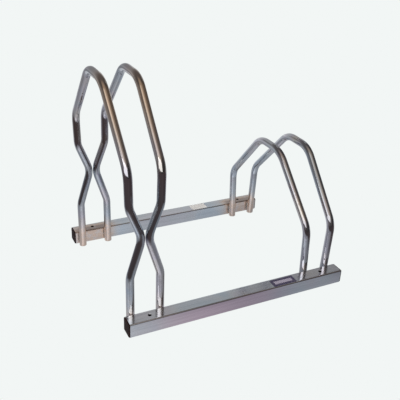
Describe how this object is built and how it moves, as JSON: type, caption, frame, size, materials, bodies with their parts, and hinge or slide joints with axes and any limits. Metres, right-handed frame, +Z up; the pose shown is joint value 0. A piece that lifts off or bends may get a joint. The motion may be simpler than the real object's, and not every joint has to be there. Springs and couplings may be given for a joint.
{
  "type": "bike rack",
  "caption": "Floor rack for parking bicycles at staggered heights: square tube rails joined by high waisted hoops and low leaning hoops of bent round tube that hold a wheel between them.",
  "frame": {"origin": "on the ground, in the middle of the rack", "axes": "+X along the rails from the high pair to the low pair, +Y from the front rail to the rear rail, +Z up"},
  "size_m": [0.482, 0.395, 0.4532],
  "materials": {
    "zinc": "bright zinc plated",
    "weld": "zinc plated weld bead",
    "plug": "moulded black"
  },
  "bodies": {
    "root": {"front_rail": "zinc", "front_left_plug": "plug", "front_right_plug": "plug", "rear_rail": "zinc", "rear_left_plug": "plug", "rear_right_plug": "plug", "high_left_hoop": "zinc", "high_left_front_weld": "weld", "high_left_rear_weld": "weld", "high_right_hoop": "zinc", "high_right_front_weld": "weld", "high_right_rear_weld": "weld", "low_left_hoop": "zinc", "low_left_front_weld": "weld", "low_left_rear_weld": "weld", "low_right_hoop": "zinc", "low_right_front_weld": "weld", "low_right_rear_weld": "weld"}
  },
  "joints": []
}
